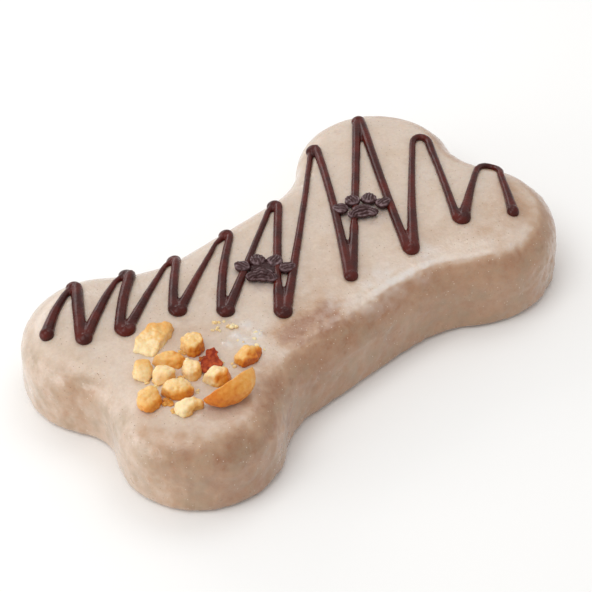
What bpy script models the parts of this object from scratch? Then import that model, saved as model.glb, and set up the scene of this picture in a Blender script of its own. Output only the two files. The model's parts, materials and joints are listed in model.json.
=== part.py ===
"""A bone-shaped dog cake: one glazed slab with a piped zigzag and two paw prints, and chopped peanuts on top.

The slab is 140 mm long, 80 mm wide and 21 mm thick. It lies on its flat underside, with its length along X.
The zigzag and the paw prints are thick icing, so they are one solid with the cake. Each nut is its own solid.
"""
import math
import random

import bmesh
import bpy
from mathutils import Matrix, Vector, noise

MM = 0.001
GAP = 0.3 * MM                     # clear space between pieces that touch
SHARP = 50.0                       # an edge that turns by more than this stays sharp, in degrees

# The bone in plan: four round lobes, (x, y, radius) of each, in millimetres
LOBE_BACK_LEFT = (-49.3, 17.2, 21.1)
LOBE_FRONT_LEFT = (-48.9, -18.6, 20.9)
LOBE_BACK_RIGHT = (47.0, 18.2, 22.0)
LOBE_FRONT_RIGHT = (46.3, -16.0, 24.2)
WAIST_BACK = 25.9                  # distance of the waist's straight sides from the long axis
WAIST_FRONT = -29.2
FILLET_BACK_LEFT = 29.0            # radius of the hollow between each lobe and the waist
FILLET_BACK_RIGHT = 24.0
FILLET_FRONT_LEFT = 22.0
FILLET_FRONT_RIGHT = 31.0
NOTCH_LEFT = 13.5                  # radius of the hollow between the two lobes of an end
NOTCH_RIGHT = 13.0

# The slab's side, in millimetres
HEIGHT = 21.0
CROWN = 0.6                        # rise of the top from its edge to the middle
CROWN_REACH = 8.0
SHOULDER = 8.5                     # radius between the side and the top
FOOT = 2.2                         # radius between the side and the underside
FOOT_INSET = 0.6                   # how far the side draws in at the foot
ARC_STEPS = 7                      # outline points on each arc
SIDE_RINGS = 3
SHOULDER_RINGS = 5
CROWN_RINGS = 2
FOOT_RINGS = 2
UNEVEN = 0.25                      # depth of the side's lumps
LUMP = 14.0                        # width of the side's lumps

# The strokes of the zigzag from its left end to its right one: (x, y) of the start and of the end, the bead's
# radius at the start, halfway and at the end, and how far the stroke bows out along the zigzag, in millimetres
STROKES = (
    ((-62.5, 22.2), (-48.7, 31.4), (1.70, 1.24, 0.90), -0.8),
    ((-46.6, 30.6), (-57.8, 14.5), (1.60, 1.60, 1.60), -0.1),
    ((-56.6, 14.1), (-36.7, 26.5), (1.50, 1.20, 0.65), -0.3),
    ((-33.4, 25.4), (-49.3, 10.3), (1.50, 1.40, 1.45), -0.5),
    ((-46.9, 9.5), (-23.2, 22.8), (1.45, 0.97, 0.62), 0.1),
    ((-20.8, 22.0), (-35.1, 6.4), (1.10, 1.23, 1.50), -0.4),
    ((-33.3, 5.8), (-8.4, 20.1), (1.45, 0.90, 0.60), 0.0),
    ((-5.2, 19.0), (-26.8, -2.1), (1.01, 1.20, 1.35), -0.8),
    ((-25.0, -2.7), (9.6, 20.1), (1.50, 0.95, 0.85), 0.2),
    ((12.1, 19.3), (-16.8, -12.4), (1.20, 1.22, 1.50), -0.4),
    ((-15.0, -13.0), (35.0, 30.9), (1.50, 0.95, 0.85), 0.3),
    ((36.5, 30.4), (5.1, -14.7), (1.20, 1.15, 1.50), 0.5),
    ((5.9, -14.9), (52.1, 30.9), (1.50, 1.15, 1.35), 0.2),
    ((53.2, 30.5), (23.1, -17.4), (1.35, 1.22, 1.30), -0.3),
    ((24.7, -18.0), (56.7, 13.7), (1.70, 1.10, 0.90), -0.4),
    ((59.8, 10.8), (40.9, -18.0), (1.20, 1.03, 1.30), 0.1),
    ((42.8, -18.6), (60.4, -6.7), (1.75, 1.10, 0.88), -0.1),
    ((64.2, -11.4), (53.7, -25.9), (0.95, 1.12, 1.55), 0.1),
)
# The round heaps of icing at the far turns, (x, y) of each from the left, in millimetres
DOMES = (
    (-46.9, 31.6), (-33.8, 26.8), (-21.3, 22.7), (-5.7, 20.1), (11.4, 20.3), (35.5, 30.9), (52.8, 31.0),
)
ZIGZAG_WAY = -19.0                 # direction in which the zigzag moves on, in degrees
BEAD_LIFT = 0.4                    # how far the bead's centre lies above the glaze
BEAD_STEP = 4.5                    # length of its straight pieces
BEAD_SIDES = 2                     # subdivisions of the bead's section
WELD = 0.01                        # points this close are one, when a bead's caps are closed
DOME = (2.0, 1.7, 1.35)            # half sizes of a heap: along the zigzag, across it, up
DROP_ENDS = 0.9                    # half sizes of the drop at any other turn, for a bead radius of 1: past the
DROP_ACROSS = 1.2                  # two strokes that meet there, across them, and up
DROP_UP = 1.0
END_DROP = 1.15                    # size of the round drops at the two ends, for a bead radius of 1

# The two paw prints: the middle of the toes' fan and the way that they point, in millimetres and degrees
PAWS = ((-10.3, 0.1, 42.0), (25.0, 0.0, 57.0))
TOE_REACH = 6.3
TOE_FAN = (66.0, 22.0, -23.0, -66.0)
TOE = (1.75, 1.5, 1.25)            # half sizes: away from the pad, across, up
PAD_MIDDLE = (1.7, 2.0, 1.35)
PAD_END = (1.45, 1.7, 1.25)
PAD_AHEAD = 1.0                    # how far the pad's middle lies before the middle of the fan
PAD_SPREAD = 1.9                   # distance of the pad's two ends from the middle of the fan
PAW_LIFT = 0.65                    # height of the paws' middle plane above the glaze

# The chopped peanuts, each with the place of its middle, the slope of its sides in degrees from upright, the
# direction in degrees and distance in millimetres of each chopped side, and the chopped faces of its top: the
# direction that each slopes down to, its slope in degrees, and its height in millimetres over the middle
CHUNKS = {
    "peanut_01": dict(finish="pale_nut", at=(-45.5, 1.0), lean=8, sides=(
        (-155, 4.7), (-72, 2.0), (-55, 2.9), (35, 5.4), (60, 3.9), (95, 3.4), (130, 4.5)),
        tops=((-145, 20, 2.3), (-75, 18, 2.7))),
    "peanut_02": dict(finish="gold_nut", at=(-40.5, -7.3), lean=3, sides=(
        (172, 2.0), (-148, 2.4), (-105, 2.4), (-72, 2.2), (-30, 2.4), (5, 2.6), (48, 2.3), (90, 2.6),
        (135, 2.8)),
        tops=((60, 4, 3.5),)),
    "peanut_03": dict(finish="pale_nut", at=(-47.1, -6.5), lean=24, sides=(
        (-45, 3.3), (-5, 2.4), (30, 1.6), (75, 1.8), (120, 3.5), (-178, 2.9), (-135, 1.9), (-95, 2.8)),
        tops=((-150, 16, 2.5), (-30, 14, 2.6), (60, 12, 2.5))),
    "peanut_04": dict(finish="gold_nut", at=(-54.4, -5.3), lean=12, sides=(
        (155, 2.1), (-160, 2.4), (-115, 2.6), (-65, 1.7), (-25, 1.8), (50, 2.3), (105, 2.2)),
        tops=((-125, 34, 3.3), (70, 10, 3.2), (-20, 20, 3.3))),
    "peanut_05": dict(finish="pale_nut", at=(-52.1, -9.8), lean=17, sides=(
        (-40, 2.6), (5, 2.1), (50, 1.7), (105, 2.0), (140, 2.2), (178, 2.3), (-130, 1.7), (-90, 1.9)),
        tops=((-165, 24, 3.0), (-20, 16, 3.1), (60, 10, 3.0))),
    "peanut_06": dict(finish="pale_nut", at=(-46.3, -13.0), lean=7, sides=(
        (160, 1.5), (-170, 2.1), (-120, 2.6), (-75, 2.6), (-40, 2.2), (8, 1.6), (65, 2.3), (125, 1.5)),
        tops=((-130, 26, 3.5), (20, 14, 3.6))),
    "peanut_07": dict(finish="pale_nut", at=(-43.2, -19.6), lean=12, sides=(
        (-165, 1.9), (-108, 1.5), (-60, 2.2), (-15, 2.5), (30, 1.8), (48, 1.5), (85, 1.9), (125, 3.0)),
        tops=((170, 30, 3.8), (-60, 28, 3.9), (50, 8, 3.7))),
    "peanut_08": dict(finish="gold_nut", at=(-32.8, -18.9), lean=10, sides=(
        (-100, 1.8), (-60, 2.0), (-15, 3.2), (48, 1.8), (95, 1.9), (138, 3.1), (-165, 2.9)),
        tops=((150, 24, 2.9), (-75, 46, 3.1), (-20, 20, 3.0))),
    "peanut_09": dict(finish="gold_nut", at=(-60.0, -13.6), lean=7, sides=(
        (140, 2.2), (-175, 2.5), (-130, 3.0), (-95, 2.8), (-60, 2.8), (-22, 2.7), (50, 2.4), (100, 2.3)),
        tops=((110, 12, 3.3), (-60, 30, 3.7), (-150, 34, 3.9))),
    "peanut_10": dict(finish="gold_nut", at=(-53.1, -16.2), lean=4, sides=(
        (25, 2.4), (60, 1.9), (100, 2.6), (138, 3.7), (-168, 2.4), (-130, 2.1), (-90, 2.8), (-42, 3.6),
        (-10, 3.2)),
        tops=((155, 18, 3.8), (-130, 32, 3.9), (-35, 34, 4.3), (45, 16, 3.8))),
    "peanut_11": dict(finish="pale_nut", at=(-54.3, -22.3), lean=8, sides=(
        (-30, 2.8), (20, 2.2), (75, 1.5), (120, 3.3), (150, 3.4), (-168, 3.0), (-120, 2.6), (-98, 1.5)),
        tops=((-20, 10, 2.6), (175, 14, 2.8))),
}
CHOP_BLANK = 24.0                  # size of the block that a chunk is chopped from
CHOP_UNEVEN = 0.6                  # how far one side's slope strays from the chunk's, as a share of it
CHOP_ROUND = 0.45                  # softening of the chopped edges
CHOP_KEEN = 20.0                   # an edge that turns by less than this is left as it is, in degrees

# The half kernel lies on its round back, its flat face turned up and to the back of the cake
KERNEL_AT = (-44.8, -25.2)         # middle of the flat face
KERNEL_HALF = (7.3, 3.6, 5.4)      # half length, half width, and depth of the round back
KERNEL_TIP = 0.1                   # how much the left end is slimmer than the right one
KERNEL_ROLL = 124.0                # from lying on its flat face, in degrees about its length
KERNEL_PITCH = 5.0                 # slope of its length up to the right
KERNEL_TURN = -4.0                 # its turn in plan
KERNEL_SIDES = (16, 12)            # faces round it and along it

# The flake of red skin, torn: the direction in degrees and distance in millimetres of each point of its rim
SKIN_AT = (-41.0, -13.9)
SKIN_RIM = (
    (72, 2.0), (57, 3.3), (30, 3.6), (10, 3.3), (0, 2.3), (-30, 2.6), (-52, 3.2), (-73, 3.0), (-108, 2.0),
    (-143, 3.2), (-157, 3.9), (-175, 2.6), (150, 1.9), (110, 1.7),
)
SKIN_THICK = 0.45
SKIN_WAVE = 0.25                   # height of its small waves
SKIN_CURL_WAY = 40.0               # the side that curls up, as a direction
SKIN_CURL = 0.12                   # upward curl, for each square millimetre from the middle

# Colour and roughness of each finish
FINISHES = {
    "glaze": ((0.70, 0.57, 0.47), 0.45),
    "pale_nut": ((0.88, 0.70, 0.43), 0.5),
    "gold_nut": ((0.80, 0.48, 0.20), 0.5),
    "brown_nut": ((0.56, 0.19, 0.04), 0.4),
    "skin": ((0.32, 0.05, 0.013), 0.6),
}


def clear_scene():
    for ob in list(bpy.data.objects):
        bpy.data.objects.remove(ob, do_unlink=True)


def new_collection(name):
    made = bpy.data.collections.new(name)
    bpy.context.scene.collection.children.link(made)
    return made


def add_object(name, mesh, collection):
    ob = bpy.data.objects.new(name, mesh)
    collection.objects.link(ob)
    return ob


def finished(bm, name):
    """A mesh from an edited form, shaded smooth but for its sharp edges."""
    bmesh.ops.recalc_face_normals(bm, faces=bm.faces)
    mesh = bpy.data.meshes.new(name)
    bm.to_mesh(mesh)
    bm.free()
    mesh.shade_smooth()
    mesh.set_sharp_from_angle(angle=math.radians(SHARP))
    return mesh


def material(name, finish):
    colour, roughness = FINISHES[finish]
    made = bpy.data.materials.new(name)
    made.use_nodes = True
    shader = made.node_tree.nodes["Principled BSDF"]
    shader.inputs["Base Color"].default_value = (*colour, 1.0)
    shader.inputs["Roughness"].default_value = roughness
    return made


def polar(radius, degrees):
    """A plan offset of this length in this direction."""
    turn = math.radians(degrees)
    return Vector((radius * math.cos(turn), radius * math.sin(turn)))


# The outline in plan

def notch_circle(front, back, radius, outward):
    """The circle that touches both lobes of one end from outside."""
    a = Vector(front[:2])
    b = Vector(back[:2])
    across = b - a
    length = across.length
    reach_a = front[2] + radius
    reach_b = back[2] + radius
    along = (reach_a ** 2 - reach_b ** 2 + length ** 2) / (2 * length)
    out = math.sqrt(reach_a ** 2 - along ** 2)
    normal = Vector((across.y, -across.x)) / length * outward
    return (*(a + across / length * along + normal * out), radius)


def fillet_circle(lobe, waist, radius, toward):
    """The circle that touches a lobe from outside and the straight side of the waist."""
    y = waist + math.copysign(radius, waist)
    reach = lobe[2] + radius
    return (lobe[0] + toward * math.sqrt(reach ** 2 - (y - lobe[1]) ** 2), y, radius)


def bone_arcs():
    """The outline's arcs, counter-clockwise: centre, radius, +1 round or -1 hollow, first and last angle."""
    lobes = (LOBE_BACK_RIGHT, LOBE_BACK_LEFT, LOBE_FRONT_LEFT, LOBE_FRONT_RIGHT)
    back_right = fillet_circle(LOBE_BACK_RIGHT, WAIST_BACK, FILLET_BACK_RIGHT, -1)
    back_left = fillet_circle(LOBE_BACK_LEFT, WAIST_BACK, FILLET_BACK_LEFT, 1)
    front_left = fillet_circle(LOBE_FRONT_LEFT, WAIST_FRONT, FILLET_FRONT_LEFT, 1)
    front_right = fillet_circle(LOBE_FRONT_RIGHT, WAIST_FRONT, FILLET_FRONT_RIGHT, -1)
    notch_right = notch_circle(LOBE_FRONT_RIGHT, LOBE_BACK_RIGHT, NOTCH_RIGHT, 1)
    notch_left = notch_circle(LOBE_FRONT_LEFT, LOBE_BACK_LEFT, NOTCH_LEFT, -1)
    run = (notch_right, lobes[0], back_right, back_left, lobes[1], notch_left, lobes[2], front_left,
           front_right, lobes[3])

    def bearing(circle, other):
        """Direction from a circle's centre to where it touches the next one, or the waist."""
        if circle in lobes or other in lobes:
            return math.atan2(other[1] - circle[1], other[0] - circle[0])
        return math.atan2(-circle[1], 0.0)

    arcs = []
    for i, circle in enumerate(run):
        sign = 1 if circle in lobes else -1
        first = bearing(circle, run[i - 1])
        last = bearing(circle, run[(i + 1) % len(run)])
        while sign * (last - first) < 0:
            last += sign * math.tau
        arcs.append((Vector(circle[:2]), circle[2], sign, first, last))
    return arcs


ARCS = bone_arcs()


def outline(inset, steps):
    """Points of the bone's outline, drawn in by inset millimetres."""
    points = []
    for centre, radius, sign, first, last in ARCS:
        count = steps * 2 if sign > 0 else steps
        for i in range(count):
            angle = first + (last - first) * (i + 0.5) / count
            points.append(centre + Vector((math.cos(angle), math.sin(angle))) * (radius - sign * inset))
    return points


EDGE = outline(0.0, ARC_STEPS * 2)


def edge_near(point):
    """The point of the bone's outline nearest to a point in plan, and the direction out of the side there."""
    best = None
    for i, end in enumerate(EDGE):
        start = EDGE[i - 1]
        along = (point - start).dot(end - start) / (end - start).length_squared
        foot = start.lerp(end, min(max(along, 0.0), 1.0))
        if best is None or (foot - point).length < (best[0] - point).length:
            run = end - start
            best = (foot, Vector((run.y, -run.x)).normalized())
    return best


def top_at(x, y):
    """Height of the glaze at a point of the top, and its normal."""
    point = Vector((x, y))
    foot, out = edge_near(point)
    inset = (foot - point).length
    edge = HEIGHT - CROWN
    if inset < SHOULDER:
        slope = (SHOULDER - inset) / SHOULDER
        rise = math.sqrt(1.0 - slope ** 2)
        return edge - SHOULDER + SHOULDER * rise, Vector((out.x * slope, out.y * slope, rise))
    along = min((inset - SHOULDER) / CROWN_REACH, 1.0)
    return edge + CROWN * (1.0 - (1.0 - along) ** 2), Vector((0.0, 0.0, 1.0))


# The slab

def ring_levels():
    """(inset, height) of each ring of the slab, from the underside to the top."""
    edge = HEIGHT - CROWN
    levels = []
    for i in range(FOOT_RINGS + 1):
        turn = math.radians(90.0 * i / FOOT_RINGS)
        levels.append((FOOT_INSET + FOOT * (1 - math.sin(turn)), FOOT * (1 - math.cos(turn))))
    for i in range(1, SIDE_RINGS + 1):
        up = i / SIDE_RINGS
        levels.append((FOOT_INSET * (1 - up) ** 1.5, FOOT + up * (edge - SHOULDER - FOOT)))
    for i in range(1, SHOULDER_RINGS + 1):
        turn = math.radians(90.0 * i / SHOULDER_RINGS)
        levels.append((SHOULDER * (1 - math.cos(turn)), edge - SHOULDER + SHOULDER * math.sin(turn)))
    for i in range(1, CROWN_RINGS + 1):
        along = i / CROWN_RINGS
        levels.append((SHOULDER + CROWN_REACH * along, edge + CROWN * (1 - (1 - along) ** 2)))
    return levels


def slab_mesh():
    """The bone: the outline's rings, from the underside to the top, joined by bands of faces."""
    bm = bmesh.new()
    rings = []
    for inset, height in ring_levels():
        uneven = UNEVEN if height > 0.0 and inset < SHOULDER else 0.0
        ring = []
        for p in outline(inset, ARC_STEPS):
            bulge = edge_near(p)[1] * uneven * noise.noise(Vector((p.x, p.y, height)) / LUMP)
            ring.append(bm.verts.new(Vector((p.x + bulge.x, p.y + bulge.y, height)) * MM))
        rings.append(ring)
    for lower, upper in zip(rings, rings[1:]):
        for i in range(len(lower)):
            bm.faces.new((lower[i - 1], lower[i], upper[i], upper[i - 1]))
    bm.faces.new(reversed(rings[0]))
    bm.faces.new(rings[-1])
    return finished(bm, "slab")


# Icing: tubes for the strokes of the zigzag, drops at its turns, and the paw prints

def ellipsoid(name, centre, half, across, normal, collection):
    """A drop with its half sizes along a direction, across it and along the normal, all in millimetres."""
    up = normal.normalized()
    side = up.cross(Vector((across.x, across.y, 0.0))).normalized()
    ahead = side.cross(up)
    turn = Matrix((ahead, side, up)).transposed().to_4x4()
    scale = Matrix.Diagonal((*(Vector(half) * MM), 1.0))
    bm = bmesh.new()
    bmesh.ops.create_icosphere(bm, subdivisions=2, radius=1.0)
    bmesh.ops.transform(bm, matrix=Matrix.Translation(centre * MM) @ turn @ scale, verts=bm.verts)
    return add_object(name, finished(bm, name), collection)


def stroke(name, start, finish, radii, bow, heap, collection):
    """One stroke: a tube laid on the glaze, with a slight bow and a radius that changes along it.

    Where a heap is given, the tube ends in its middle.
    """
    first, halfway, last = radii
    run = finish - start
    count = max(2, round(run.length / BEAD_STEP))
    curve = bpy.data.curves.new(name, "CURVE")
    curve.dimensions = "3D"
    curve.bevel_depth = MM
    curve.bevel_resolution = BEAD_SIDES
    curve.use_fill_caps = True
    line = curve.splines.new("POLY")
    line.points.add(count)
    for i, point in enumerate(line.points):
        along = i / count
        place = start + run * along + polar(bow * math.sin(math.pi * along), ZIGZAG_WAY)
        if heap and i == count:
            place = heap
        height, normal = top_at(*place)
        point.co = (*((Vector((*place, height)) + normal * BEAD_LIFT) * MM), 1.0)
        outer = 2.0 * along - 1.0
        point.radius = halfway * (1.0 - outer * outer) + outer * (last * along - first * (1.0 - along))
    return meshed(add_object(name, curve, collection), collection)


def meshed(tube, collection):
    """The closed mesh of a curve object, whose caps are welded on."""
    graph = bpy.context.evaluated_depsgraph_get()
    mesh = bpy.data.meshes.new_from_object(tube.evaluated_get(graph))
    bm = bmesh.new()
    bm.from_mesh(mesh)
    bmesh.ops.remove_doubles(bm, verts=bm.verts, dist=WELD * MM)
    bm.to_mesh(mesh)
    bm.free()
    made = add_object(tube.name + "_mesh", mesh, collection)
    made.matrix_world = tube.matrix_world
    bpy.data.objects.remove(tube, do_unlink=True)
    return made


def drop(name, place, half, way, collection):
    """A drop of icing on the glaze, with its half sizes along a way, across it and up."""
    height, normal = top_at(*place)
    centre = Vector((*place, height)) + normal * BEAD_LIFT
    ellipsoid(name, centre, half, way, normal, collection)


def pipe_zigzag(collection):
    """The whole bead, stroke by stroke, with a drop where it turns and at both of its ends."""
    on = polar(1.0, ZIGZAG_WAY)
    heaps = {2 * i: Vector(place) for i, place in enumerate(DOMES)}
    for i, (start, finish, radii, bow) in enumerate(STROKES):
        start, finish = Vector(start), Vector(finish)
        stroke(f"stroke_{i}", start, finish, radii, bow, heaps.get(i), collection)
        if i in heaps:
            drop(f"dome_{i}", heaps[i], DOME, on, collection)
        if i and i - 1 not in heaps:
            before, arriving = Vector(STROKES[i - 1][1]), STROKES[i - 1][2][-1]
            radius = max(radii[0], arriving)
            half_length = (start - before).length / 2.0 + DROP_ENDS * radius
            half = (half_length, DROP_ACROSS * radius, DROP_UP * radius)
            drop(f"drop_{i}", (before + start) / 2.0, half, start - before, collection)
    ends = ((STROKES[0][0], STROKES[0][2][0]), (STROKES[-1][1], STROKES[-1][2][-1]))
    for name, (place, radius) in zip(("first", "last"), ends):
        drop(f"{name}_drop", Vector(place), (END_DROP * radius,) * 3, on, collection)


def print_paw(name, x, y, facing, collection):
    """A paw print of thick icing: four toes in a fan before a three-lobed pad."""
    middle = Vector((x, y))
    ahead = polar(1.0, facing)
    aside = polar(1.0, facing + 90.0)

    def dab(part, place, half, way):
        height, normal = top_at(*place)
        ellipsoid(f"{name}_{part}", Vector((*place, height + PAW_LIFT)), half, way, normal, collection)

    dab("pad", middle + ahead * PAD_AHEAD, PAD_MIDDLE, ahead)
    for side in (-1, 1):
        dab(f"pad_{side}", middle + aside * PAD_SPREAD * side, PAD_END, ahead)
    for i, fan in enumerate(TOE_FAN):
        way = polar(1.0, facing + fan)
        dab(f"toe_{i}", middle + way * TOE_REACH, TOE, way)


def build_cake(parts, cutters):
    """The slab with its icing, made one body."""
    cake = add_object("cake", slab_mesh(), parts)
    pipe_zigzag(cutters)
    for i, (x, y, facing) in enumerate(PAWS):
        print_paw(f"paw_{i}", x, y, facing, cutters)
    union = cake.modifiers.new("icing", "BOOLEAN")
    union.operation = "UNION"
    union.operand_type = "COLLECTION"
    union.collection = cutters
    union.solver = "EXACT"
    bpy.context.view_layer.update()
    graph = bpy.context.evaluated_depsgraph_get()
    joined = bpy.data.meshes.new_from_object(cake.evaluated_get(graph))
    cake.modifiers.clear()
    cake.data = joined
    for ob in list(cutters.objects):
        bpy.data.objects.remove(ob, do_unlink=True)
    cake.data.materials.clear()
    cake.data.materials.append(material("glaze", "glaze"))
    return cake


# Nuts

def chop(bm, point, normal):
    """Cut away all that lies beyond a plane, and close the cut."""
    geometry = list(bm.verts) + list(bm.edges) + list(bm.faces)
    cut = bmesh.ops.bisect_plane(bm, geom=geometry, plane_co=point, plane_no=normal, clear_outer=True)
    edges = [item for item in cut["geom_cut"] if isinstance(item, bmesh.types.BMEdge)]
    if edges:
        bmesh.ops.contextual_create(bm, geom=edges)


def rest_on_glaze(bm, at, wall):
    """Move a nut from the origin to its place, with its lowest point just clear of the glaze."""
    glaze = max(top_at(at[0] + v.co.x / MM, at[1] + v.co.y / MM)[0] for v in bm.verts)
    lowest = min(v.co.z for v in bm.verts)
    place = Vector((at[0] * MM, at[1] * MM, (glaze + wall) * MM + GAP - lowest))
    bmesh.ops.translate(bm, vec=place, verts=bm.verts)


def build_chunk(name, finish, at, lean, sides, tops, parts):
    """A chopped piece of nut: a block with a face for each cut, its edges a little softened."""
    draw = random.Random(name)
    bm = bmesh.new()
    bmesh.ops.create_cube(bm, size=CHOP_BLANK * MM)
    chop(bm, Vector((0.0, 0.0, 0.0)), Vector((0.0, 0.0, -1.0)))
    middle = tops[0][2] / 2
    for direction, reach in sides:
        slope = math.radians(lean * (1.0 + draw.uniform(-CHOP_UNEVEN, CHOP_UNEVEN)))
        way = polar(1.0, direction)
        normal = Vector((way.x * math.cos(slope), way.y * math.cos(slope), math.sin(slope)))
        chop(bm, Vector((way.x * reach, way.y * reach, middle)) * MM, normal)
    for direction, degrees, height in tops:
        slope = math.radians(degrees)
        way = polar(math.sin(slope), direction)
        chop(bm, Vector((0.0, 0.0, height)) * MM, Vector((way.x, way.y, math.cos(slope))))
    rest_on_glaze(bm, at, 0.0)
    chunk = add_object(name, finished(bm, name), parts)
    bevel = chunk.modifiers.new("soft_edges", "BEVEL")
    bevel.width = CHOP_ROUND * MM
    bevel.segments = 2
    bevel.limit_method = "ANGLE"
    bevel.angle_limit = math.radians(CHOP_KEEN)
    chunk.data.materials.append(material(name, finish))


def build_half_kernel(parts):
    """Half a peanut on its round back: half an ellipsoid, narrower at one end."""
    bm = bmesh.new()
    bmesh.ops.create_uvsphere(bm, u_segments=KERNEL_SIDES[0], v_segments=KERNEL_SIDES[1], radius=1.0)
    bmesh.ops.rotate(bm, cent=(0, 0, 0), matrix=Matrix.Rotation(math.radians(90), 3, "Y"), verts=bm.verts)
    chop(bm, Vector((0.0, 0.0, 0.0)), Vector((0.0, 0.0, -1.0)))
    half = Vector(KERNEL_HALF)
    for v in bm.verts:
        slim = 1.0 - KERNEL_TIP * (1.0 - v.co.x) / 2
        v.co = Vector((v.co.x * half.x, v.co.y * half.y * slim, v.co.z * half.z * slim)) * MM
    for degrees, axis in ((KERNEL_ROLL, "X"), (-KERNEL_PITCH, "Y"), (KERNEL_TURN, "Z")):
        turn = Matrix.Rotation(math.radians(degrees), 3, axis)
        bmesh.ops.rotate(bm, cent=(0, 0, 0), matrix=turn, verts=bm.verts)
    rest_on_glaze(bm, KERNEL_AT, 0.0)
    kernel = add_object("half_peanut", finished(bm, "half_peanut"), parts)
    kernel.data.materials.append(material("half_peanut", "brown_nut"))


def build_skin(parts):
    """A flake of the nuts' red skin: a thin wavy sheet with a torn rim and one side curled up."""
    bm = bmesh.new()
    middle = bm.verts.new((0.0, 0.0, 0.0))
    rim = [bm.verts.new((*polar(reach * MM, direction), 0.0)) for direction, reach in SKIN_RIM]
    for i, point in enumerate(rim):
        bm.faces.new((middle, point, rim[i - 1]))
    spokes = [edge for edge in bm.edges if not edge.is_boundary]
    bmesh.ops.subdivide_edges(bm, edges=spokes, cuts=2, use_grid_fill=True)
    bmesh.ops.triangulate(bm, faces=bm.faces)
    curl_way = polar(1.0, SKIN_CURL_WAY)
    for v in bm.verts:
        place = v.co.xy / MM
        up = max(place.dot(curl_way), 0.0)
        v.co.z = (SKIN_CURL * up ** 2 + SKIN_WAVE * math.sin(1.5 * place.y + place.x)) * MM
    rest_on_glaze(bm, SKIN_AT, SKIN_THICK / 2)
    skin = add_object("peanut_skin", finished(bm, "peanut_skin"), parts)
    wall = skin.modifiers.new("thickness", "SOLIDIFY")
    wall.thickness = SKIN_THICK * MM
    wall.offset = 0.0
    skin.data.materials.append(material("peanut_skin", "skin"))


def main():
    clear_scene()
    parts = new_collection("dog_cake")
    cutters = new_collection("icing_shapes")
    build_cake(parts, cutters)
    for name, chunk in CHUNKS.items():
        build_chunk(name, parts=parts, **chunk)
    build_half_kernel(parts)
    build_skin(parts)


main()
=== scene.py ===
# %% [markdown]
# # A glazed cake for a dog, in the shape of a bone
#
# The cake is a flat bone, 141 mm long, dipped in a pale glaze. A zigzag of dark icing is piped over it,
# with two small paw prints of the same icing on top, and chopped roasted peanuts are pressed into the
# glaze of one lobe. Each cell below makes one of these the way a modeller would by hand: a primitive is
# shaped in edit mode, finished with modifiers, and then given its own material.

# %% Load the solids that everything is fitted to
import json
import math
import random

import bmesh
import bpy
import numpy as np
from mathutils import Matrix, Vector, noise


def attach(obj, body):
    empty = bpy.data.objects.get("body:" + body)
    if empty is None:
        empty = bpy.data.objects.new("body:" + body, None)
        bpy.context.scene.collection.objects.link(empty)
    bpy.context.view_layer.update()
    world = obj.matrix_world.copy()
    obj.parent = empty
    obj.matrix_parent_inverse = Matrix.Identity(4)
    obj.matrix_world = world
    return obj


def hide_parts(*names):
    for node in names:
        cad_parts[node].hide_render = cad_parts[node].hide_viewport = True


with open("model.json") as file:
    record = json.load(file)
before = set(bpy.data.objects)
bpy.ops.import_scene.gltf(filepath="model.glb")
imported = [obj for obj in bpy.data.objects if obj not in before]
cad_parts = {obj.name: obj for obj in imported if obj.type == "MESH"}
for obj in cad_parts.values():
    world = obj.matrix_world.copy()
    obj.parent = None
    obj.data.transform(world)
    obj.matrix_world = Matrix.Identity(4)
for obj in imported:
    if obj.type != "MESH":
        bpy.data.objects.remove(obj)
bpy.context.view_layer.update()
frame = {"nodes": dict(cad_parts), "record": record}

MM = 0.001
print("solids:", len(frame["nodes"]))

# %% [markdown]
# ## Camera
#
# The photograph looks down on the cake from its front left, at about 42 degrees. Its lens is long, so the
# far end is hardly smaller than the near one. The camera stands where the bone's outline fits the
# photograph's best. A small roll is part of that fit.

# %% Stand the camera
AZIMUTH, ELEVATION, ROLL = (math.radians(degrees) for degrees in (-41.82, 41.54, -1.74))
LOOKS_AT = Vector((-1.45, -1.65, 10.52)) * MM
DISTANCE = 512.9 * MM
SENSOR = 36.0
LENS = 121.07


def direction(azimuth, elevation):
    """The way from the cake to something at this azimuth and elevation, both in radians."""
    flat = math.cos(elevation)
    return Vector((math.sin(azimuth) * flat, -math.cos(azimuth) * flat, math.sin(elevation)))


def turned(ahead, aside, up):
    """The turn that lays a thing's own X, Y and Z along these three ways."""
    return Matrix((ahead, aside, up)).transposed().to_4x4()


def look(thing, place, target, roll=0.0):
    """Stand a camera or a lamp in a place, turned to a target."""
    back = (place - target).normalized()
    right = Vector((0.0, 0.0, 1.0)).cross(back).normalized()
    turn = turned(right, back.cross(right), back) @ Matrix.Rotation(roll, 4, "Z")
    thing.matrix_world = Matrix.Translation(place) @ turn


bpy.ops.object.camera_add()
camera = bpy.context.object
camera.data.sensor_width = SENSOR
camera.data.lens = LENS
camera.data.clip_start = 0.01
look(camera, LOOKS_AT + direction(AZIMUTH, ELEVATION) * DISTANCE, LOOKS_AT, ROLL)
bpy.context.scene.camera = camera
print("camera in mm:", [round(c / MM) for c in camera.location])

# %% [markdown]
# ## Light and floor
#
# The picture was taken in soft daylight on white, so most light comes evenly from all of the sky. The
# sheen along the front shoulder mirrors one panel high up behind the cake, and tells where that panel
# stands. The left side is lighter than the front, so a key panel and a low one stand to the left. A small
# one low at the back draws long lights on the flanks of the piping. The floor is plain and nearly white.

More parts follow.
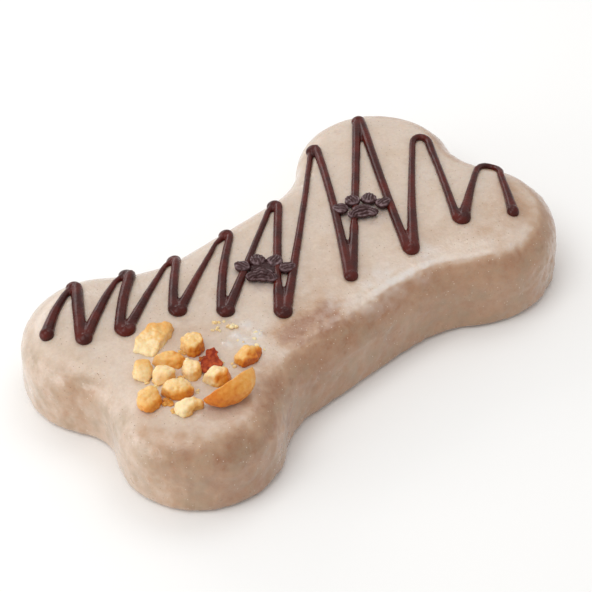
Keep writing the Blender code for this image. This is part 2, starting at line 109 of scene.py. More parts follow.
# %% Hang the lamps and lay the floor
LAMPS = {
    # name: (azimuth and elevation in degrees, distance, width and height in metres, watts)
    "sheen": (112.0, 66.0, 0.42, 0.22, 0.20, 0.26),
    "key": (-95.0, 62.0, 0.90, 0.55, 0.55, 2.10),
    "left": (-110.0, 12.0, 0.55, 0.40, 0.20, 0.75),
    "back": (172.0, 24.0, 0.60, 0.34, 0.20, 0.50),
}
DAYLIGHT, DAYLIGHT_STRENGTH = (1.0, 0.99, 0.975, 1.0), 0.64
PAPER_WHITE, PAPER_ROUGHNESS = (0.97, 0.97, 0.965, 1.0), 0.9
for name, (azimuth, elevation, distance, width, height, watts) in LAMPS.items():
    bpy.ops.object.light_add(type="AREA")
    lamp = bpy.context.object
    lamp.name = "lamp_" + name
    lamp.data.shape = "RECTANGLE"
    lamp.data.size = width
    lamp.data.size_y = height
    lamp.data.energy = watts
    place = LOOKS_AT + direction(math.radians(azimuth), math.radians(elevation)) * distance
    look(lamp, place, LOOKS_AT)

world = bpy.data.worlds.new("daylight")
world.use_nodes = True
sky = world.node_tree.nodes["Background"]
sky.inputs["Color"].default_value = DAYLIGHT
sky.inputs["Strength"].default_value = DAYLIGHT_STRENGTH
bpy.context.scene.world = world
bpy.context.scene.view_settings.view_transform = "Standard"

bpy.ops.mesh.primitive_plane_add(size=6.0)
floor = bpy.context.object
floor.name = "floor"
paper = bpy.data.materials.new("paper")
paper.use_nodes = True
paper_shader = paper.node_tree.nodes["Principled BSDF"]
paper_shader.inputs["Base Color"].default_value = PAPER_WHITE
paper_shader.inputs["Roughness"].default_value = PAPER_ROUGHNESS
floor.data.materials.append(paper)
print("lamps:", list(LAMPS), "floor:", floor.name)

# %% [markdown]
# ## The bone's outline
#
# A bone-shaped tin is drawn with a compass: four round lobes, a straight waist, and hollows that run
# smoothly from one to the next. Each arc keeps its centre when the outline is drawn in from the edge, so
# the same few circles also say how far any point of the top lies from the edge.

# %% Draw the outline with a compass, in millimetres
LOBES = {
    # (x, y, radius)
    "back_right": (47.0, 18.2, 22.0),
    "back_left": (-49.3, 17.2, 21.1),
    "front_left": (-48.9, -18.6, 20.9),
    "front_right": (46.3, -16.0, 24.2),
}
WAIST_BACK, WAIST_FRONT = 25.9, -29.2
FILLETS = {"back_right": 24.0, "back_left": 29.0, "front_left": 22.0, "front_right": 31.0}
NOTCH_RIGHT, NOTCH_LEFT = 13.0, 13.5


def hollow_to_waist(corner):
    """The circle that touches a lobe from outside and the straight side of the waist."""
    x, y, radius = LOBES[corner]
    fillet = FILLETS[corner]
    waist = WAIST_BACK if y > 0 else WAIST_FRONT
    centre_y = waist + math.copysign(fillet, waist)
    run = math.sqrt((radius + fillet) ** 2 - (centre_y - y) ** 2)
    return (x - math.copysign(run, x), centre_y, fillet)


def hollow_between(front, back, notch, outward):
    """The circle that touches the two lobes of one end from outside."""
    a = Vector(LOBES[front][:2])
    across = Vector(LOBES[back][:2]) - a
    reach_a, reach_b = LOBES[front][2] + notch, LOBES[back][2] + notch
    along = (reach_a ** 2 - reach_b ** 2 + across.length_squared) / (2 * across.length)
    out = math.sqrt(reach_a ** 2 - along ** 2) * outward
    way = across.normalized()
    return (*(a + way * along + Vector((way.y, -way.x)) * out), notch)


CIRCLES = [
    hollow_between("front_right", "back_right", NOTCH_RIGHT, 1),
    LOBES["back_right"],
    hollow_to_waist("back_right"),
    hollow_to_waist("back_left"),
    LOBES["back_left"],
    hollow_between("front_left", "back_left", NOTCH_LEFT, -1),
    LOBES["front_left"],
    hollow_to_waist("front_left"),
    hollow_to_waist("front_right"),
    LOBES["front_right"],
]


def bone_outline(steps):
    """Points of the outline, counter-clockwise: this many on each hollow, and twice as many on a lobe."""
    points = []
    for i, circle in enumerate(CIRCLES):
        is_lobe = circle in LOBES.values()
        before, after = CIRCLES[i - 1], CIRCLES[(i + 1) % len(CIRCLES)]
        ends = []
        for other in (before, after):
            if is_lobe or other in LOBES.values():
                ends.append(math.atan2(other[1] - circle[1], other[0] - circle[0]))
            else:
                ends.append(math.atan2(-circle[1], 0.0))
        sign = 1 if is_lobe else -1
        while sign * (ends[1] - ends[0]) < 0:
            ends[1] += sign * math.tau
        count = steps * 2 if is_lobe else steps
        for k in range(count):
            angle = ends[0] + (ends[1] - ends[0]) * (k + 0.5) / count
            points.append(Vector(circle[:2]) + Vector((math.cos(angle), math.sin(angle))) * circle[2])
    return points


OUTLINE = bone_outline(12)
print("outline points:", len(OUTLINE))

# %% [markdown]
# The glaze is level in the middle and falls over a round shoulder to the side. Everything that lies on
# the cake asks for the height of the glaze under it, and for the way that the glaze faces there.

# %% Measure the top at any place, in millimetres
HEIGHT = 21.0
CROWN, CROWN_REACH = 0.6, 8.0
SHOULDER = 8.5
MOST_LEAN = 0.98
RIM = HEIGHT - CROWN
STARTS = np.array([OUTLINE[i - 1][:] for i in range(len(OUTLINE))])
RUNS = np.array([p[:] for p in OUTLINE]) - STARTS


def from_edge(points):
    """How far points in plan lie from the outline, and the way out of the cake at the nearest edge."""
    insets, ways = [], []
    for block in np.array_split(points, max(1, len(points) // 4000)):
        rel = block[:, None, :] - STARTS[None]
        along = np.clip((rel * RUNS).sum(2) / (RUNS ** 2).sum(1), 0.0, 1.0)
        away = rel - along[:, :, None] * RUNS
        distance = np.sqrt((away ** 2).sum(2))
        nearest = distance.argmin(1)
        run = RUNS[nearest] / np.linalg.norm(RUNS[nearest], axis=1)[:, None]
        way = np.column_stack((run[:, 1], -run[:, 0]))
        own = away[np.arange(len(block)), nearest]
        insets.append(-np.sign((own * way).sum(1)) * distance.min(1))
        ways.append(way)
    return np.concatenate(insets), np.concatenate(ways)


def crown_rise(inset):
    """How much higher the glaze stands at this distance from the edge than where the shoulder begins."""
    along = np.clip((inset - SHOULDER) / CROWN_REACH, 0.0, 1.0)
    return CROWN * (1.0 - (1.0 - along) ** 2)


def top_at(x, y):
    """Height of the glaze at a place, and its normal."""
    insets, ways = from_edge(np.array([[x, y]], float))
    inset, way = float(insets[0]), ways[0]
    lean = min(max((SHOULDER - inset) / SHOULDER, 0.0), MOST_LEAN)
    rise = math.sqrt(1.0 - lean ** 2)
    height = RIM - SHOULDER + SHOULDER * rise + float(crown_rise(inset))
    return height, Vector((way[0] * lean, way[1] * lean, rise))


print("top in the middle:", round(top_at(0.0, 0.0)[0], 2), "mm")
print("top near a lobe's edge:", round(top_at(-46.5, 32.5)[0], 2), "mm")

# %% [markdown]
# ## Helpers of this bench
#
# An operator works on whatever is selected, so each step starts by letting go of everything. Modifiers
# are applied as soon as they are set, so that the next step works on the true mesh.


# %% Clear the selection, apply modifiers, read and move the points of a mesh
def let_go():
    """Leave edit mode and select nothing."""
    if bpy.context.object and bpy.context.object.mode != "OBJECT":
        bpy.ops.object.mode_set(mode="OBJECT")
    bpy.ops.object.select_all(action="DESELECT")


def take(thing):
    """Select one thing only."""
    let_go()
    thing.select_set(True)
    bpy.context.view_layer.objects.active = thing


def joined(things):
    """Join some things into the first of them."""
    take(things[0])
    for thing in things[1:]:
        thing.select_set(True)
    bpy.ops.object.join()
    return things[0]


def apply_modifier(thing, kind, **settings):
    """Add a modifier with its settings and apply it at once."""
    take(thing)
    modifier = thing.modifiers.new(kind.lower(), kind)
    for key, value in settings.items():
        setattr(modifier, key, value)
    bpy.ops.object.modifier_apply(modifier=modifier.name)


def even_mesh(thing, size, smoothing=0):
    """Give a closed form a mesh of even squares, this many millimetres wide."""
    apply_modifier(thing, "REMESH", mode="VOXEL", voxel_size=size * MM)
    if smoothing:
        apply_modifier(thing, "SMOOTH", factor=0.5, iterations=smoothing)


def points_of(thing):
    """The points and normals of a mesh, in millimetres."""
    count = len(thing.data.vertices)
    where, facing = np.empty(count * 3), np.empty(count * 3)
    thing.data.vertices.foreach_get("co", where)
    thing.data.vertices.foreach_get("normal", facing)
    return where.reshape(-1, 3) / MM, facing.reshape(-1, 3)


def put_points(thing, where):
    """Move the points of a mesh to new places, in millimetres."""
    thing.data.vertices.foreach_set("co", (where * MM).ravel())
    thing.data.update()


def paint(thing, name, values):
    """Keep a number at every point of a mesh for its material to read."""
    layer = thing.data.attributes.new(name, "FLOAT", "POINT")
    layer.data.foreach_set("value", np.asarray(values, np.float32))


def read_off(values, table):
    """Look values up in a table of (value, result), with straight lines from row to row."""
    return np.interp(values, *zip(*table))


def waver(where, width, seed=0.0, stretch=(1.0, 1.0, 1.0)):
    """Soft random heights between -1 and 1, whose swells are this many millimetres wide."""
    spot = where * np.array(stretch) / width + seed
    return np.array([noise.noise(Vector(p)) for p in spot])


def lumps_of(where, width, seed):
    """Round lumps that meet in creases, 0.5 at their tops and below 0 in the creases."""
    return np.array([0.5 - noise.voronoi(Vector(p))[0][0] for p in where / width + seed])


def finish_piece(thing, name, slot, material, *stands_for):
    """Name a piece, put its place in its mesh, and hang it on the cake."""
    take(thing)
    bpy.ops.object.transform_apply(location=True, rotation=True, scale=True)
    bpy.ops.object.shade_smooth()
    thing.name = name
    thing.data.name = name
    thing.data.materials.clear()
    thing.data.materials.append(material)
    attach(thing, "root")
    if stands_for:
        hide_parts(*stands_for)
    triangles = sum(len(face.vertices) - 2 for face in thing.data.polygons)
    print(name, "triangles:", triangles)


print("bench is ready")

# %% [markdown]
# ## Materials
#
# All finishes are built from nodes on object coordinates, so they need no pictures and stay put when the
# cake moves. One helper adds a node, and another gives a node's inputs their numbers or joins them to
# other nodes. With these two, a finish reads like a recipe.


# %% Add nodes in one line each
def new_finish(name):
    """A new material: its node tree, its shader and the material itself."""
    made = bpy.data.materials.new(name)
    made.use_nodes = True
    return made.node_tree, made.node_tree.nodes["Principled BSDF"], made


def wire(tree, node, inputs):
    """Give each named input of a node its value, or another node's output."""
    for key, value in inputs.items():
        if isinstance(value, bpy.types.NodeSocket):
            tree.links.new(value, node.inputs[key])
        else:
            node.inputs[key].default_value = value


def add(tree, kind, inputs=None, **settings):
    """A new node with its settings and its inputs."""
    made = tree.nodes.new(kind)
    for key, value in settings.items():
        setattr(made, key, value)
    wire(tree, made, inputs or {})
    return made


def maths(tree, operation, first, second, **settings):
    """Two values put together by one operation."""
    return add(tree, "ShaderNodeMath", {0: first, 1: second}, operation=operation, **settings).outputs[0]


def place_of(tree):
    """Where a point lies on the cake."""
    return add(tree, "ShaderNodeTexCoord").outputs["Object"]


def grain(tree, width, detail=2.0, rough=0.5, seed=0.0):
    """Noise whose swells are this many millimetres wide."""
    spot = place_of(tree)
    if seed:
        shift = {0: spot, 1: (seed, seed, seed)}
        spot = add(tree, "ShaderNodeVectorMath", shift, operation="ADD").outputs[0]
    inputs = {"Vector": spot, "Scale": 1.0 / (width * MM), "Detail": detail, "Roughness": rough}
    return add(tree, "ShaderNodeTexNoise", inputs).outputs["Fac"]


def span(tree, value, low, high, to_low=0.0, to_high=1.0):
    """Spread a range of a value over another range."""
    inputs = {"Value": value, "From Min": low, "From Max": high, "To Min": to_low, "To Max": to_high}
    return add(tree, "ShaderNodeMapRange", inputs).outputs["Result"]


def painted(tree, name):
    """The number that a mesh was painted with under this name."""
    return add(tree, "ShaderNodeAttribute", attribute_name=name).outputs["Fac"]


def blended(tree, amount, first, second):
    """The first colour where the amount is 0, and the second where it is 1."""
    return add(tree, "ShaderNodeMix", {0: amount, 6: first, 7: second}, data_type="RGBA").outputs[2]


def rgb(red, green, blue):
    """A colour, with the full cover that sockets ask for."""
    return (red, green, blue, 1.0)


def stops(tree, value, colours):
    """A colour that changes along a value: a tuple of (value, colour) from low to high."""
    ramp = add(tree, "ShaderNodeValToRGB", {"Fac": value})
    elements = ramp.color_ramp.elements
    while len(elements) < len(colours):
        elements.new(0.5)
    for element, (place, colour) in zip(elements, colours):
        element.position, element.color = place, colour
    return ramp.outputs["Color"]


def dots(tree, apart, radius, share, choice):
    """Round dots of this radius, so many millimetres apart, of which the choice keeps only this share."""
    cells = add(tree, "ShaderNodeTexVoronoi", {"Vector": place_of(tree), "Scale": 1.0 / (apart * MM)})
    disc = span(tree, cells.outputs["Distance"], 0.6 * radius / apart, 1.3 * radius / apart, 1.0, 0.0)
    weighed = {0: cells.outputs["Color"], 1: choice}
    lot = add(tree, "ShaderNodeVectorMath", weighed, operation="DOT_PRODUCT").outputs["Value"]
    return maths(tree, "MULTIPLY", disc, maths(tree, "LESS_THAN", lot, share * sum(choice)))


def fine_relief(tree, height, strength, depth):
    """A relief this many millimetres deep that only the light feels, for detail finer than the mesh."""
    inputs = {"Height": height, "Strength": strength, "Distance": depth * MM}
    return add(tree, "ShaderNodeBump", inputs).outputs["Normal"]


print("nodes are ready")

# %% [markdown]
# ## The glazed body
#
# The body is one soft slab. It could be subdivided from a coarse cage, but the outline is known exactly,
# so a circle is laid onto it, extruded to the height of the rim, and its two rims are bevelled: widely
# above, where the glaze runs over the edge, and a little below, where it draws in to the table.

# %% Extrude the outline and round its rims
FOOT = 2.2
ring = [p * MM for p in bone_outline(14)]
let_go()
bpy.ops.mesh.primitive_circle_add(vertices=len(ring), radius=HEIGHT * MM, fill_type="NGON")
glaze = bpy.context.object
for point, place in zip(glaze.data.vertices, ring):
    point.co = (place.x, place.y, 0.0)
bpy.ops.object.mode_set(mode="EDIT")
bpy.ops.mesh.select_all(action="SELECT")
bpy.ops.mesh.extrude_region_move(TRANSFORM_OT_translate={"value": (0.0, 0.0, RIM * MM)})
bpy.ops.mesh.select_all(action="SELECT")
bpy.ops.mesh.normals_make_consistent(inside=False)


def select_rim(thing, height):
    """Select the edges that lie at this height of a mesh in edit mode."""
    bpy.ops.mesh.select_mode(type="EDGE")
    bpy.ops.mesh.select_all(action="DESELECT")
    form = bmesh.from_edit_mesh(thing.data)
    for edge in form.edges:
        if all(abs(v.co.z - height) < 0.01 * MM for v in edge.verts):
            edge.select_set(True)
    bmesh.update_edit_mesh(thing.data)


select_rim(glaze, RIM * MM)
bpy.ops.mesh.bevel(offset=SHOULDER * MM, segments=10, affect="EDGES", clamp_overlap=False)
select_rim(glaze, 0.0)
bpy.ops.mesh.bevel(offset=FOOT * MM, segments=4, affect="EDGES", clamp_overlap=False)
bpy.ops.object.mode_set(mode="OBJECT")
print("slab in mm:", [round(size / MM, 1) for size in glaze.dimensions])

# %% [markdown]
# A dipped glaze is never as true as its tin. It swells and sinks gently, it runs down the sides in slow
# folds, and crumbs of the cake press through it as round lumps, most of all on the long front side. The
# slab gets an even fine mesh first, and then each point moves along its normal by soft noise of several
# sizes. Real relief catches the light better than a painted one, so all but the finest grain is in the
# mesh.

# %% Let the glaze swell and sag
GLAZE_MESH = 0.62
SMEARS = (
    # (x, y, reach in mm) of the bumps that the baker's finger left beside the nuts
    (-29.8, -14.2, 3.0), (-29.9, -11.2, 2.4), (-25.5, -14.2, 1.9), (-25.4, -9.8, 2.2), (-33.3, -11.9, 1.7),
    (-31.0, -17.2, 1.8),
)
CRINKLES = (
    # (x, y, reach in mm) of the places on the front shoulder where the glaze wrinkled as it set
    (-17.0, -23.0, 6.0), (-8.0, -22.5, 5.0), (1.5, -23.5, 6.5), (9.0, -25.0, 5.0), (20.0, -26.0, 5.0),
    (30.0, -31.0, 5.0),
)
SIDE_LUMPS = (
    # how far a side faces to the right of the picture, and how lumpy it is
    (-0.5, 0.35), (0.4, 1.15),
)
PICTURE_RIGHT = (0.75, -0.66)    # the way to the right of the picture, in x and y


def faces_right(facing):
    """How far each point faces to the right of the picture, from -1 to 1."""
    return facing[:, 0] * PICTURE_RIGHT[0] + facing[:, 1] * PICTURE_RIGHT[1]


def near(where, spots):
    """How near each point lies to any of some spots in plan: 1 at a spot's middle and 0 at its reach."""
    nearness = np.zeros(len(where))
    for x, y, reach in spots:
        distance = np.hypot(where[:, 0] - x, where[:, 1] - y)
        nearness = np.maximum(nearness, np.clip(1.0 - (distance / reach) ** 2, 0.0, 1.0))
    return nearness


even_mesh(glaze, GLAZE_MESH, smoothing=2)
where, facing = points_of(glaze)
inset = from_edge(where[:, :2])[0]
upright = np.clip(facing[:, 2], 0.0, 1.0)
side = np.clip(1.2 - 1.4 * upright, 0.0, 1.0) * (where[:, 2] > 0.5)
on_top = np.clip((upright - 0.9) * 10.0, 0.0, 1.0)
where[:, 2] += crown_rise(inset) * on_top
free = np.clip(where[:, 2] / 1.5, 0.0, 1.0)
coarse = side * read_off(faces_right(facing), SIDE_LUMPS)
swell = 0.24 * waver(where, 13.0, 3.0) * side + 0.08 * waver(where, 10.0, 8.0) * (1.0 - side)
folds = 0.12 * side * waver(where, 4.0, 70.0, (1.0, 1.0, 0.5))
lumps = (0.22 * coarse + 0.05) * waver(where, 3.4, 20.0)
lumps += (0.19 * coarse + 0.03) * waver(where, 1.8, 31.0)
lumps += 0.38 * coarse * np.clip(0.5 + waver(where, 8.0, 43.0), 0.0, 1.0) * lumps_of(where, 2.7, 41.0)
crinkled = near(where, CRINKLES) * np.clip(0.7 + 1.2 * waver(where, 4.0, 35.0), 0.0, 1.0)
lumps += 0.20 * crinkled * waver(where, 1.5, 33.0)
smear = near(where, SMEARS) * on_top
lumps += smear * (0.35 + 0.5 * waver(where, 1.5, 90.0))
where += facing * ((swell + folds + lumps) * free)[:, None]
put_points(glaze, where)
print("glaze points:", len(where))

# %% [markdown]
# ## Colour of the glaze
#
# The glaze is the colour of milky coffee, and it is thin enough on the shoulders and sides for the brown
# cake to show through. So the mesh is painted with how thin the glaze is at every point. It thins out
# over the shoulders, sharply on the long front side and slowly on the lobes at the nuts, and at a few
# strokes that the photograph shows. The same number also carries painted shade: the sides that face the
# right, away from the lamps at the left, and some of the strokes are darkened with it. A painted number
# keeps such places where they belong, and noise alone would not.

# %% List the places where the glaze is thin and where shade is painted
STAINS_AND_SHADE = (
    # (from x, y, z), (to x, y, z), reach in mm, how thin: strokes where the glaze is painted browner,
    # partly where the brown cake shows through and partly painted shade
    ((-20.5, -18.8, 20.2), (-6.0, -20.2, 20.1), 4.6, 1.0),
    ((-19.0, -23.0, 19.6), (-12.0, -22.5, 19.9), 5.0, 0.70),
    ((-11.0, -24.4, 19.0), (5.0, -27.2, 17.0), 3.2, 0.88),
    ((-6.5, -26.8, 17.3), (-10.5, -28.2, 15.2), 3.4, 0.95),
    ((-2.0, -27.8, 16.5), (2.0, -29.0, 12.0), 4.5, 0.75),
    ((-27.6, -28.3, 16.7), (-26.8, -28.6, 16.0), 1.5, 0.95),
    ((-30.5, -31.0, 14.0), (-33.5, -33.0, 9.0), 3.5, 0.90),
    ((34.0, -32.5, 18.3), (51.0, -38.0, 17.3), 2.8, 0.85),
    ((44.5, -36.5, 18.5), (47.0, -37.2, 18.2), 1.6, 1.0),
    ((54.0, -37.0, 16.8), (64.5, -31.0, 17.0), 4.0, 0.75),
    ((64.5, -29.0, 17.5), (67.5, -20.0, 17.0), 4.0, 0.70),
    ((55.0, -27.0, 20.0), (62.0, -17.0, 20.0), 5.0, 0.46),
    # painted shade in the notch of the left end
    ((-66.5, 4.0, 15.0), (-66.0, 12.0, 15.0), 4.5, 0.55),
    # the front shoulder of the front left lobe: thin glaze and painted shade where less light falls
    ((-65.0, -28.0, 16.0), (-52.5, -37.5, 16.0), 5.5, 0.90),
    ((-51.5, -38.0, 16.0), (-38.5, -36.5, 16.0), 6.0, 0.90),
    ((-38.5, -33.5, 18.0), (-32.0, -28.5, 18.0), 7.0, 0.88),
    # faint broad strokes: painted shade that darkens parts of the top a little
    ((-58.0, -27.0, 20.0), (-42.0, -30.0, 20.0), 5.0, 0.14),
    ((-38.0, -1.0, 21.0), (-33.0, -3.0, 21.0), 6.0, 0.20),
    ((-10.0, -13.0, 20.8), (8.0, -13.0, 20.8), 7.0, 0.24),
    ((2.0, -4.0, 21.0), (12.0, -2.0, 21.0), 6.0, 0.13),
    ((25.0, -18.0, 20.5), (50.0, -22.0, 20.5), 9.0, 0.18),
    ((44.0, -28.0, 20.2), (56.0, -30.0, 19.5), 6.0, 0.22),
    # these darken the left and front sides of the front left lobe, most low down
    ((-66.0, -20.0, 18.0), (-67.5, -28.0, 12.0), 6.0, 0.38),
    ((-68.5, -22.0, 7.0), (-63.0, -33.0, 7.0), 7.0, 0.38),
    ((-60.0, -37.5, 7.0), (-42.0, -38.5, 7.0), 8.0, 0.34),
)
TILTED_THIN_AND_SHADE = (
    # the slope of a shoulder in degrees, and how much of the thinness and painted shade of its side it has
    (0.0, 0.0), (15.0, 0.06), (24.0, 0.60), (33.0, 1.12), (48.0, 1.15), (70.0, 1.0), (90.0, 1.0),
)
SOFT_THIN_AND_SHADE = (
    # the same for the lobes at the nuts, where the glaze runs out more slowly
    (0.0, 0.0), (20.0, 0.06), (38.0, 0.55), (52.0, 0.95), (70.0, 1.0), (90.0, 1.08),
)
SIDE_THIN_AND_SHADE = (
    # how far a side faces to the right of the picture, and how thin its glaze is painted: partly thin
    # glaze, partly painted shade on the sides turned away from the lamps at the left
    (-1.0, 0.13), (-0.6, 0.34), (0.0, 0.66), (0.65, 0.76), (1.0, 0.72),
)
SOFT_UP_TO, SHARP_FROM = -34.0, -24.0    # x in mm where the soft shoulders end and the sharp ones begin
print("strokes of thin glaze:", len(STAINS_AND_SHADE))

# %% Paint how thin the glaze is, together with painted shade
where, facing = points_of(glaze)
warped = where + 1.6 * np.column_stack([waver(where, 4.0, 55.0 + 9.0 * axis) for axis in range(3)])
thin_and_shade = np.zeros(len(where))
for start, end, reach, amount in STAINS_AND_SHADE:
    start, run = np.array(start), np.array(end) - np.array(start)
    along = np.clip((warped - start) @ run / (run @ run), 0.0, 1.0)
    distance = np.linalg.norm(warped - start - along[:, None] * run, axis=1)
    thin_and_shade = 1.0 - (1.0 - thin_and_shade) * (1.0 - amount * np.exp(-1.4 * (distance / reach) ** 2))
thin_and_shade *= 1.0 + 0.35 * waver(where, 1.6, 58.0) + 0.30 * waver(where, 5.0, 59.0)
tilt = np.degrees(np.arccos(np.clip(facing[:, 2], -1.0, 1.0)))
to_right = faces_right(facing)
ragged = tilt + 8.0 * waver(where, 7.0, 53.0) + 3.0 * waver(where, 2.0, 54.0)
turned_right = to_right / np.maximum(np.sin(np.radians(tilt)), 0.2)
sharp = read_off(where[:, 0], ((SOFT_UP_TO, 0.0), (SHARP_FROM, 1.0)))
share = sharp * read_off(ragged, TILTED_THIN_AND_SHADE) + (1.0 - sharp) * read_off(ragged, SOFT_THIN_AND_SHADE)
patchy = 0.07 * waver(where, 2.6, 50.0, (1.0, 1.0, 0.7)) + 0.11 * waver(where, 9.0, 52.0)
# Sides that face the right are painted darker, partly for thin glaze and partly as painted shade.
side_thin_and_shade = read_off(turned_right, SIDE_THIN_AND_SHADE)
thin_and_shade = np.maximum(thin_and_shade, share * (side_thin_and_shade + patchy))
paint(glaze, "thin_and_shade", np.clip(thin_and_shade + 0.07 * waver(where, 3.0, 60.0), 0.0, 1.0))
print("thin glaze on average:", round(float(thin_and_shade.mean()), 2))

# %% [markdown]
# More things are painted as numbers of their own. A milky film lies along the front shoulder where
# the glaze pooled, and the baker's finger left pale smears beside the nuts. A painted highlight runs along
# the front shoulder as well, where the sheen of the panel high behind the cake falls, and it shares one
# number with the film and the smears. The icing rubbed off a little under the paw prints, which is smudge.
# And steep marks the sides, where the cake shows through in olive patches.

# %% Paint the film, the smears, the painted highlight and the smudges
SPILL = (
    # (x, y, reach in mm) of the milky film on the front shoulder
    (-1.0, -22.5, 4.5), (3.0, -24.0, 5.0), (7.0, -24.5, 4.5), (12.0, -24.0, 3.5), (20.0, -25.0, 3.5),
)
PAINTED_SHEEN_TILT = (
    # the slope of the front shoulder in degrees, and how much painted highlight lies on it
    (1.0, 0.0), (8.0, 1.0), (17.0, 1.0), (29.0, 0.0),
)
PAINTED_SHEEN_ALONG = (
    # x in mm, and how much painted highlight lies there
    (-12.0, 0.0), (-2.0, 0.7), (12.0, 1.1), (34.0, 0.8), (60.0, 0.0),
)
PAINTED_SHEEN_BEFORE_Y = -12.0
# how strong the milky film is, and how strong the painted highlight along the shoulder is
SPILL_FROST, PAINTED_SHEEN_STRENGTH = 0.42, 0.68
STEEP_TILT = ((25.0, 0.0), (50.0, 1.0))
PAW_SPOTS = ((-9.3, 1.2, 8.0), (26.0, 1.4, 8.0))    # (x, y, reach in mm)
spilt = near(where, SPILL) * np.clip(0.6 + 0.9 * waver(where, 2.0, 81.0), 0.0, 1.0) * (where[:, 2] > 17.0)
smears = near(where, SMEARS) * np.clip(0.75 + 0.6 * waver(where, 1.4, 93.0), 0.0, 1.0)
# A painted highlight along the front shoulder, on the slopes where the sheen falls.
painted_sheen = read_off(ragged, PAINTED_SHEEN_TILT) * np.clip(to_right * 12.0, 0.0, 1.0)
painted_sheen *= read_off(where[:, 0], PAINTED_SHEEN_ALONG) * (where[:, 1] < PAINTED_SHEEN_BEFORE_Y)
painted_sheen *= np.clip(0.75 + 0.9 * waver(where, 5.0, 99.0) + 0.7 * waver(where, 1.3, 98.0), 0.0, 1.3)
frost_and_sheen = np.maximum(smears, np.maximum(SPILL_FROST * spilt, PAINTED_SHEEN_STRENGTH * painted_sheen))
smudge = near(where, PAW_SPOTS) * np.clip(0.5 + 0.7 * waver(where, 2.2, 96.0), 0.0, 1.0)
paint(glaze, "frost_and_sheen", frost_and_sheen)
paint(glaze, "steep", read_off(tilt, STEEP_TILT))
paint(glaze, "smudge", smudge)
print("points with film or smears:", int((frost_and_sheen > 0.1).sum()))

# %% [markdown]
# The finish mixes these numbers into one colour. Noise of several sizes stirs milky, tan and dull patches
# into the thick glaze, dark pits and light specks are scattered over all of it, the specks partly grains
# and partly painted glints, and a thin clear coat gives the wet shine.

# %% Mix the glaze
GLAZE_COLOURS = (
    # (how thin and shaded, colour): thick glaze, glaze over brown cake, and nearly bare cake; the darker
    # colours also stand for painted shade
    (0.0, rgb(0.69, 0.562, 0.462)), (0.5, rgb(0.50, 0.313, 0.197)), (1.0, rgb(0.335, 0.155, 0.078)),
)
MILKY, TAN, DULL = rgb(0.66, 0.56, 0.48), rgb(0.53, 0.38, 0.25), rgb(0.44, 0.33, 0.245)
# The last colour on the next line is the pale film and smears, and also the painted highlight on the front
# shoulder.
OLIVE, SMUDGED, FROST_AND_SHEEN_COLOUR = rgb(0.36, 0.26, 0.165), rgb(0.42, 0.33, 0.31), rgb(0.68, 0.615, 0.57)
# The second colour on the next line is for light specks: partly grains in the glaze, partly painted
# glints.
PIT, SPECK_AND_GLINT = rgb(0.30, 0.17, 0.10), rgb(0.72, 0.62, 0.52)

tree, shader, glaze_finish = new_finish("glaze")
mottle = span(tree, grain(tree, 2.2, 4.0, 0.65, 4.0), 0.3, 0.7, -0.09, 0.09)
thinness_and_shade = maths(tree, "ADD", painted(tree, "thin_and_shade"), mottle, use_clamp=True)
thick_and_unshaded = span(tree, thinness_and_shade, 0.0, 0.6, 1.0, 0.0)
milky = span(tree, grain(tree, 9.0, 3.0, 0.5, 1.0), 0.42, 0.66, 0.0, 0.42)
tan = span(tree, grain(tree, 7.0, 3.0, 0.55, 23.0), 0.46, 0.72, 0.0, 0.38)
dull = span(tree, grain(tree, 0.9, 3.0, 0.65, 17.0), 0.38, 0.68, 0.0, 0.22)
olive = span(tree, grain(tree, 5.0, 4.0, 0.6, 31.0), 0.42, 0.66, 0.0, 0.55)
LAYERS = (
    # (how much, colour), from the lowest to the highest
    (maths(tree, "MULTIPLY", milky, thick_and_unshaded), MILKY),
    (maths(tree, "MULTIPLY", tan, thick_and_unshaded), TAN),
    (dull, DULL),
    (painted(tree, "smudge"), SMUDGED),
    (maths(tree, "MULTIPLY", olive, painted(tree, "steep")), OLIVE),
    # the pale film and smears, and the painted highlight along the front shoulder
    (painted(tree, "frost_and_sheen"), FROST_AND_SHEEN_COLOUR),
    (dots(tree, 1.2, 0.13, 0.5, (0.5, 0.3, 0.7)), PIT),
    # light specks: partly grains, partly painted glints
    (dots(tree, 1.0, 0.11, 0.45, (0.2, 0.9, 0.4)), SPECK_AND_GLINT),
)
body_colour = stops(tree, thinness_and_shade, GLAZE_COLOURS)
for amount, colour in LAYERS:
    body_colour = blended(tree, amount, body_colour, colour)
grainy = fine_relief(tree, grain(tree, 0.9, 3.0, 0.6, 6.0), 0.7, 0.17)
wire(tree, shader, {
    "Base Color": body_colour,
    "Roughness": span(tree, grain(tree, 5.0, 2.0, 0.5, 2.0), 0.3, 0.7, 0.26, 0.42),
    "Subsurface Weight": 0.2,
    "Subsurface Radius": (1.0, 0.55, 0.3),
    "Subsurface Scale": 1.5 * MM,
    "Specular IOR Level": 0.3,
    "Coat Weight": 0.8,
    "Coat Roughness": 0.17,
    "Normal": grainy,
    "Coat Normal": grainy,
})
finish_piece(glaze, "glazed_bone", "glaze", glaze_finish, "cake")

# %% [markdown]
# ## The piped zigzag
#
# The baker squeezes one unbroken thread out of a bag and sweeps it up and down over the cake. It slims
# where the hand moves fast, in the middle of a stroke, and swells where the hand turns. So the thread is
# a curve of strokes and round turns, with a thickness at each point. At the near turns the hand waits,
# and the icing heaps up in a small coil. The curve becomes a mesh, and a remesh melts the places where it
# lies on itself into one form.

